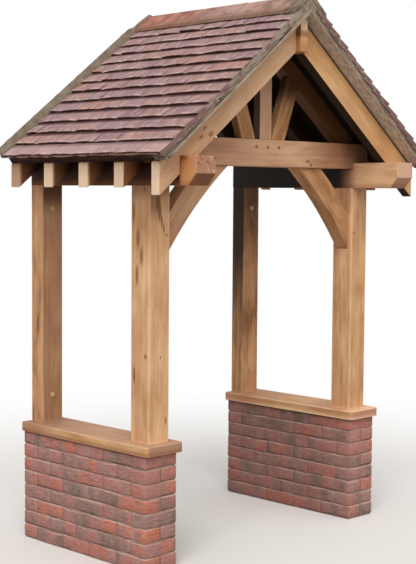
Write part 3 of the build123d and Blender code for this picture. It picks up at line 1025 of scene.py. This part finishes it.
def lay_tile(pile, sign, tail, y0, width, length, top, rng):
    """One hand-made plain tile, cambered both ways, its tail a little uneven."""
    thickness = TILE_THICKNESS - 0.001
    play = EAVE_PLAY if tail > TAILS[1] else 1.0
    lift = min(0.005, abs(rng.gauss(0.0, 0.0020))) * play
    twist = rng.uniform(-0.0035, 0.0035) * play
    skew = rng.uniform(-0.004, 0.004) * play
    slip = rng.uniform(-0.0025, 0.0025) * play
    seed = Vector((rng.uniform(0, 90), rng.uniform(0, 90), 0.0))
    tone = rng.random()
    stray = (rng.uniform(0, 40), rng.uniform(0, 40))

    def place(u, v, w):
        side = v / width - 0.5
        ragged = noise.noise(Vector((v * 22.0, 0.0, 0.0)) + seed) * 0.003
        near_tail = max(0.0, 1.0 - u / 0.08)
        s = tail - u + (skew * side + slip + ragged) * near_tail
        camber = 0.0030 * (1.0 - 4.0 * side * side) - 0.0015
        ripple = noise.noise(Vector((u * 16.0, v * 16.0, 0.0)) + seed) * 0.0014
        t = top - thickness + w - TILE_FALL * u + (lift + 2.0 * twist * side) * near_tail
        t += camber * min(1.0, near_tail + 0.3) + ripple
        edge_round = 0.002 * max(0.0, 1.0 - u / 0.004) * (1.0 if w > thickness / 2 else -0.4)
        return on_slope(sign, s, t - edge_round, y0 + v)

    def local(u, v, w):
        return (u, v + stray[0], w + stray[1])

    us = [u for u in (0.0, 0.004, 0.02, 0.05, 0.085, 0.12, 0.19) if u < length - 0.001] + [length]
    vs = steps(width, max(3, round(width / 0.024)), edge=0.003)
    pile.block(us, vs, [0.0, thickness], place, tone, local)


def lay_course(pile, sign, tail, top, start_width, length, rng):
    """Tiles side by side from the verge to the back; the last is cut to fit."""
    y = Y_FRONT
    width = start_width
    while y < Y_BACK - 0.01:
        width = min(width, Y_BACK - y)
        to_ridge = tail - 0.02
        inwards = rng.uniform(0.0, 0.003) if y == Y_FRONT else 0.0
        laid = width - TILE_GAP - inwards
        lay_tile(pile, sign, tail, y + inwards, laid, min(length, to_ridge), top, rng)
        y += width
        width = TILE_WIDTH + TILE_GAP


def build_tiles():
    """Both slopes in broken bond, over a short eave course."""
    material = tile_material("plain_tile", (66, 36, 34), (84, 50, 46), 0.50)
    eave_material = tile_material("eave_tile", (92, 58, 52), (184, 138, 126), 0.46)
    whole = TILE_WIDTH + TILE_GAP
    for side, sign in SIDES.items():
        rng = random.Random(TILE_SEEDS[side])
        pile = Pile()
        for course, tail in enumerate(TAILS):
            start = 1.5 * whole if course % 2 else whole
            lay_course(pile, sign, tail, TILE_TOP, start, TILE_LENGTH, rng)
        pile.piece(f"roof_tiles_{side}", material, "clay_tile", [f"tile_slope_{side}"])
        under = Pile()
        tail = EAVE_TAIL - EAVE_TILE_SET_BACK
        lay_course(under, sign, tail, TILE_TOP - TILE_THICKNESS, 1.5 * whole, EAVE_TILE_LENGTH, rng)
        under.piece(f"eave_tiles_{side}", eave_material, "clay_tile")


def slope_streaks(g, length, depth):
    """Noise drawn out along both roof slopes, over so many metres by so many."""
    x, y, z = g.split(g.place)
    reach = abs(x)
    down = reach * COS_P - z * SIN_P
    square = reach * SIN_P + z * COS_P
    return g.noise(g.join(down / length, square / depth, y * 8.0), 1.0, roughness=0.6)


def mortar_material(name, light, dark, deep, streaked=0.0, streak_depth=0.009):
    """Lumpy mortar; where streaked, it has algae and streaks down the slope and darkens at the eaves."""
    g = Finish(name, 0.95)
    lumps = g.noise(g.place, 22.0, detail=5.0, roughness=0.6)
    grit = g.noise(g.place, 260.0, roughness=0.7)
    g.colour = g.blend(dark, light, lumps, 0.3, 0.7)
    g.stain(deep, g.noise(g.place, 6.0), 0.5, 0.75, 0.6)
    g.stain(deep, grit, 0.45, 0.7, 0.35)
    if streaked:
        streaks = slope_streaks(g, 0.20, streak_depth)
        g.stain((66, 50, 42), streaks, 0.48, 0.38, streaked)
        g.stain((180, 164, 144), streaks, 0.54, 0.64, streaked * 0.7)
        algae = g.noise(g.place, 21.0, detail=2.0)
        g.stain((128, 130, 112), algae, 0.56, 0.66, 0.45)
        g.stain((92, 76, 68), abs(g.split(g.place)[0]), 0.45, 0.95, 0.42)
    return g.finished(lumps + grit * 0.4, 0.003, 0.8)


def ridge_height(x, t):
    """Height of a ridge-shaped surface whose sides lie t above the rafters."""
    return APEX + t / COS_P - TAN_P * math.sqrt(x * x + CREST_ROUND * CREST_ROUND)


def ridge_material():
    """Ridge clay, paler at the front and redder at the back, with lichen and a dirty foot."""
    g = Finish("ridge_tile", 0.8)
    _, y, z = g.split(g.place)
    g.colour = g.ramp(g.remap(y, -0.5, 0.6), RIDGE_BY_DEPTH)
    g.tint(g.attribute("tone") * 0.3, (140, 104, 92))
    patches = g.noise(g.place, 12.0, detail=4.0, roughness=0.6)
    g.stain((118, 88, 78), patches, 0.50, 0.36, 0.75)
    g.stain((190, 146, 134), patches, 0.50, 0.66, 0.7)
    g.stain((132, 102, 84), z, RIDGE_FOOT + 0.035, RIDGE_FOOT, 0.7)
    streaks = g.noise(g.place, (70.0, 8.4, 70.0))
    g.stain((150, 128, 116), streaks, 0.5, 0.75, 0.5)
    g.stain((140, 124, 104), g.noise(g.place, 48.0), 0.6, 0.75, 0.5)
    return g.finished(patches + g.noise(g.place, 200.0) * 0.4, 0.002, 0.7)


def lay_ridge_tile(pile, start, length, rng):
    """One ridge tile from start towards the back."""
    lift = rng.uniform(-0.002, 0.0)
    yaw = rng.uniform(-0.003, 0.003)
    seed = Vector((rng.uniform(0, 60), 0.0, 0.0))

    def place(u, v, w):
        x = v * RIDGE_HALF
        t = RIDGE_TOP - RIDGE_THICKNESS * (1.0 - w)
        ripple = noise.noise(Vector((x * 12.0, u * 9.0, 0.0)) + seed) * 0.0015
        return (x, start + u, ridge_height(x, t) + lift + ripple + yaw * (u / length - 0.5))

    across = [-1.0 + step for step in steps(2.0, 24)]
    pile.block(steps(length - RIDGE_JOINT, 12, edge=0.003), across, [0.0, 1.0], place, rng.random())


def build_ridge():
    rng = random.Random(RIDGE_SEED)
    pile = Pile()
    start = Y_FRONT + RIDGE_END_COVER
    length = (Y_BACK - start) / RIDGE_TILES
    for i in range(RIDGE_TILES):
        lay_ridge_tile(pile, start + i * length, length, rng)
    pile.piece("ridge_tiles", ridge_material(), "ridge_tile", ["ridge_capping"])


def rough(place, size):
    """A small bump for mortar, from the same pattern each time."""
    return noise.noise(Vector(place)) * size


def build_verge(side, sign, material):
    """Mortar between the undercloak and the tiles at the front edge of the roof."""
    pile = Pile()
    end = EAVE_TAIL - 0.012

    def place(u, v, w):
        s = end * u
        behind_tail = min(tail for tail in TAILS if tail >= s) - s
        top = TILE_TOP - TILE_THICKNESS - 0.001 - TILE_FALL * behind_tail
        t = UNDERCLOAK_TOP + (top - UNDERCLOAK_TOP) * w
        if u == 0.0:
            s = -t * TAN_P
        y = Y_FRONT + VERGE_BED_WIDTH * v
        if v == 0.0:
            y += VERGE_RECESS + rough((s * 9.0, t * 40.0, 5.0 * sign), 0.003)
            y += rough((s * 40.0, t * 90.0, 9.0 * sign), 0.002)
        return on_slope(sign, s, t, y)

    pile.block(steps(1.0, 170), steps(1.0, 2), steps(1.0, 6), place)
    pile.piece(f"verge_mortar_{side}", material, "mortar", [f"verge_bedding_{side}"])


def build_fillet(side, sign, material):
    """The weathered mortar wedge along the back edge of the tiles."""
    pile = Pile()

    def place(u, v, w):
        s = (EAVE_TAIL - 0.004) * u
        over_ridge = max(0.0, min(1.0, (0.110 - s) / 0.030))
        wander = rough((s * 9.0, 2.0, 7.0 * sign), 0.005)
        top = FILLET_TOE + (FILLET_BACK - FILLET_TOE) * v
        top += (RIDGE_TOP + 0.003 + 0.004 * v - top) * over_ridge
        top += rough((s * 26.0, v * 3.0, 4.0 * sign), 0.002)
        t = FILLET_BASE + (top - FILLET_BASE) * w
        if u == 0.0:
            s = -t * TAN_P
        x, y, z = on_slope(sign, s, t, Y_BACK - (FILLET_WIDTH + wander) * (1.0 - v))
        blunt = TAN_P * (math.sqrt(x * x + CREST_ROUND * CREST_ROUND) - abs(x))
        return (x, y, z - blunt * w)

    pile.block(steps(1.0, 120), steps(1.0, 5), [0.0, 1.0], place)
    pile.piece(f"back_fillet_{side}", material, "mortar", [f"wall_fillet_{side}"])


def build_ridge_end(material):
    """Mortar that closes and covers the front end of the ridge tiles."""
    pile = Pile()
    length = RIDGE_END_COVER + 0.012
    underside = 0.050

    def place(u, v, w):
        x = v * (RIDGE_HALF + 0.006)
        t = underside + (RIDGE_TOP + 0.002 - underside) * w
        y = Y_FRONT + VERGE_RECESS + 0.001 + length * u
        if u == 0.0:
            y += rough((x * 30.0, t * 40.0, 3.0), 0.004)
        lump = rough((x * 22.0, y * 22.0, t * 22.0), 0.004)
        fade = 0.0096 * max(0.0, u - 0.75) if w > 0.5 else 0.0
        return (x, y, ridge_height(x, t) + lump - fade)

    across = [-1.0 + step for step in steps(2.0, 32)]
    pile.block([0.0, 0.02, 0.15, 0.35, 0.55, 0.75, 0.9, 1.0], across, [0.0, 0.5, 1.0], place)
    pile.piece("ridge_end_mortar", material, "mortar")


def undercloak_material():
    """Fibre-cement strip: a pale front edge and a stained, smeared soffit."""
    g = Finish("undercloak", 0.9)
    smears = g.noise(g.place, (24.0, 60.0, 24.0), detail=4.0, roughness=0.6)
    soffit = g.blend((172, 154, 138), (214, 200, 184), smears, 0.35, 0.65)
    soffit = g.blend(soffit, (184, 156, 142), g.noise(g.place, 5.0), 0.45, 0.7, 0.4)
    edge = g.mix(smears, (126, 108, 90), (176, 156, 130))
    g.colour = g.blend(soffit, edge, g.split(g.normal())[1], -0.6, -0.8)
    # Painted shadow at the lower end, under the eave's tiles.
    reach = abs(g.split(g.place)[0])
    lower_end = EAVE_TAIL * COS_P
    g.stain((74, 56, 48), reach, lower_end - 0.06, lower_end - 0.01, 0.8)
    return g.finished(smears, 0.003, 0.8)


def build_mortar():
    verge = mortar_material("verge_mortar", VERGE_LIGHT, VERGE_BASE, VERGE_DEEP, 0.9)
    bedding = mortar_material("ridge_mortar", (150, 134, 116), (120, 104, 92), (80, 64, 54), 0.8, 0.013)
    fillet = mortar_material("fillet_mortar", (138, 126, 110), (116, 102, 88), (98, 82, 72))
    undercloak = undercloak_material()
    build_ridge_end(bedding)
    for side, sign in SIDES.items():
        build_verge(side, sign, verge)
        build_fillet(side, sign, fillet)
        dress(f"ridge_bedding_{side}", bedding)
        dress(f"undercloak_{side}", undercloak)


def peg_material():
    g = Finish("oak_peg", 0.6)
    grit = g.noise(g.place, 500.0)
    g.colour = g.mix(g.attribute("tone"), (132, 86, 54), (216, 176, 134))
    g.stain(OAK_DARK, grit, 0.4, 0.7, 0.5)
    return g.finished(grit, 0.0006, 0.5)


def build_pegs():
    """Draw pegs of the frame's joints and the plugs over the rear posts' fixings."""
    material = peg_material()
    rear_front = low_of("rear_post_left").y
    for name, places, y, profile, sides, tone in (
        ("truss_pegs", TRUSS_PEGS, POST_FRONT, PEG, 12, 0.1),
        ("brace_pegs", BRACE_PEGS, POST_FRONT, PEG, 12, 0.45),
        ("fixing_plugs", FIXINGS, rear_front, PLUG, 20, 0.85),
    ):
        pile = Pile()
        for x, z in places:
            pile.turned((x, y, z), (0, -1, 0), profile, sides, tone)
        pile.piece(name, material, "oak", sharp=50.0)


def board_material():
    """Boards drawn near black as painted shade under the roof; their eave ends dashed paler, with painted
    shadow along the rafters and under the tiles; a paler edge at the front.
    """
    g = Finish("roof_boards", 0.85)
    x, _, z = g.split(g.place)
    reach = abs(x)
    down = g.vector("DOT_PRODUCT", g.place, (COS_P, 0.0, -SIN_P))
    fibres = g.noise(g.place, (40.0, 1.5, 40.0), detail=4.0)
    # Painted shade: the boards are drawn near black.
    g.colour = g.mix(fibres, (20, 14, 11), (38, 27, 21))
    from_joint = abs(g.math("FRACT", down / BOARD_WIDTH) - 0.5)
    g.stain((10, 7, 5), from_joint, 0.47, 0.49)
    dashes = g.noise(g.place, (60.0, 9.0, 60.0), roughness=0.6)
    eave = g.blend((50, 31, 27), (84, 57, 48), dashes, 0.45, 0.65)
    from_rafter = (z + reach * TAN_P - APEX) * COS_P
    # Painted shadow along the rafters and under the tiles at the eave ends.
    eave = g.blend(eave, (40, 22, 18), from_rafter, 0.022, 0.008, 0.75)
    eave = g.blend(eave, (52, 28, 25), from_rafter, 0.040, 0.052, 0.65)
    board_end = BOARD_END * COS_P
    g.stain(eave, reach, board_end - 0.012, board_end - 0.004)
    g.stain((112, 86, 64), g.split(g.normal())[1], -0.7, -0.9)
    return g.finished(fibres, 0.001, 0.5)


def build_boards():
    boards = board_material()
    for side in SIDES:
        dress(f"roof_board_{side}", boards)
        dress(f"battens_{side}", boards)


def build_camera():
    """The pictured viewpoint: a person's eye height, left of and in front of the porch."""
    place = Vector((-5.2038, -5.1269, 1.9174))
    yaw, pitch, roll = 0.7799, 0.0682, 0.0074
    focal_pixels = 1296.2
    picture_height = 564.0
    forward = Vector((math.sin(yaw) * math.cos(pitch), math.cos(yaw) * math.cos(pitch), -math.sin(pitch)))
    right = Vector((math.cos(yaw), -math.sin(yaw), 0.0))
    up = right.cross(forward)
    across = right * math.cos(roll) + up * math.sin(roll)
    upright = up * math.cos(roll) - right * math.sin(roll)
    data = bpy.data.cameras.new("camera")
    data.sensor_width = 36.0
    data.lens = focal_pixels / picture_height * data.sensor_width
    camera = new_object("camera", data)
    turn = Matrix((across, upright, -forward)).transposed().to_4x4()
    camera.matrix_world = Matrix.Translation(place) @ turn
    bpy.context.scene.camera = camera


def floor_material():
    """A pale floor that fades to white away from the part, for the camera only."""
    g = Finish("floor", 0.9)
    seen = g.out(g.add("ShaderNodeLightPath"), "Is Camera Ray")
    g.feed(g.shader.inputs["Base Color"], g.mix(seen, FLOOR_BOUNCE, FLOOR_SEEN))
    away = g.remap(g.vector("LENGTH", g.place), 1.6, 5.5)
    white = g.add("ShaderNodeEmission")
    fade = g.add("ShaderNodeMixShader", [(0, away * seen), (1, g.out(g.shader)), (2, g.out(white))])
    g.feed(g.output.inputs[0], g.out(fade))
    return g.material


def build_floor():
    mesh = bpy.data.meshes.new("floor")
    corners = [(x * FLOOR_REACH, y * FLOOR_REACH, 0) for x, y in ((-1, -1), (1, -1), (1, 1), (-1, 1))]
    mesh.from_pydata(corners, [], [(0, 1, 2, 3)])
    mesh.materials.append(floor_material())
    new_object("floor", mesh)


def build_light():
    """Soft daylight, strongest from the front, the left and above; the camera sees white."""
    world = bpy.data.worlds.new("studio")
    bpy.context.scene.world = world
    world.use_nodes = True
    g = Graph(world.node_tree)
    direction = g.out(g.add("ShaderNodeTexCoord"), "Generated")
    facing = g.vector("DOT_PRODUCT", direction, DAYLIGHT_FROM.normalized())
    strength = g.remap(facing, -0.6, 0.7, WORLD_BACK, WORLD_FRONT, kind="LINEAR")
    light = g.add("ShaderNodeBackground", [(0, DAYLIGHT), (1, strength)])
    shown = g.add("ShaderNodeBackground", [(0, WHITE)])
    rays = g.add("ShaderNodeLightPath")
    seen = g.math("MAXIMUM", g.out(rays, "Is Camera Ray"), g.out(rays, "Is Glossy Ray"))
    seen = g.math("MAXIMUM", seen, g.out(rays, "Is Transmission Ray"))
    switch = g.add("ShaderNodeMixShader", [(0, seen), (1, g.out(light)), (2, g.out(shown))])
    g.add("ShaderNodeOutputWorld", [(0, g.out(switch))])

    sun = bpy.data.lights.new("sun", "SUN")
    sun.energy = 1.6
    sun.angle = math.radians(40.0)
    sun.color = (1.0, 0.975, 0.94)
    lamp = new_object("sun", sun)
    lamp.rotation_mode = "QUATERNION"
    lamp.rotation_quaternion = SUN_TOWARDS.to_track_quat("-Z", "Y")


build_camera()
build_floor()
build_light()
dress_timber()
build_walls()
build_tiles()
build_ridge()
build_mortar()
build_pegs()
build_boards()

bpy.context.scene.view_settings.view_transform = "Standard"
